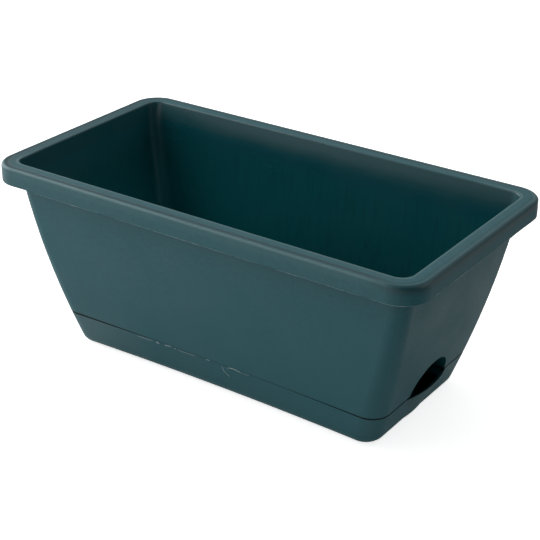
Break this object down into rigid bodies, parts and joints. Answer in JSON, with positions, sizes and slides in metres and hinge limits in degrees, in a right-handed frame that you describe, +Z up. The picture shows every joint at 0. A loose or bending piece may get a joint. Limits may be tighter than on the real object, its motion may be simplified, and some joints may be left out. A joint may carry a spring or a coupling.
{
  "type": "rectangular planter with water tray",
  "caption": "Tapered rectangular plastic planter with a turned-down rim, a flush lift-off water tray with a pouring lip, an arched fill opening and a drop-in soil grate.",
  "frame": {"origin": "middle of the water tray's underside, on the surface that the planter stands on", "axes": "+X along the length towards the end with the fill opening, +Y across the width, +Z up"},
  "size_m": [0.43, 0.227, 0.179],
  "materials": {
    "tub_plastic": "matte dark teal-green injection-moulded plastic",
    "tray_plastic": "matte dark teal-green injection-moulded plastic",
    "grate_plastic": "matte dark teal-green injection-moulded plastic"
  },
  "bodies": {
    "tray": {"water_tray": "tray_plastic"},
    "tub": {"planter_body": "tub_plastic"},
    "grate": {"soil_grate": "grate_plastic"}
  },
  "joints": [
    {"name": "tub_lift", "type": "slide", "parent": "tray", "child": "tub", "axis": [0, 0, 1], "range_m": [0, 0.05]},
    {"name": "grate_lift", "type": "slide", "parent": "tub", "child": "grate", "axis": [0, 0, 1], "range_m": [0, 0.165]}
  ]
}
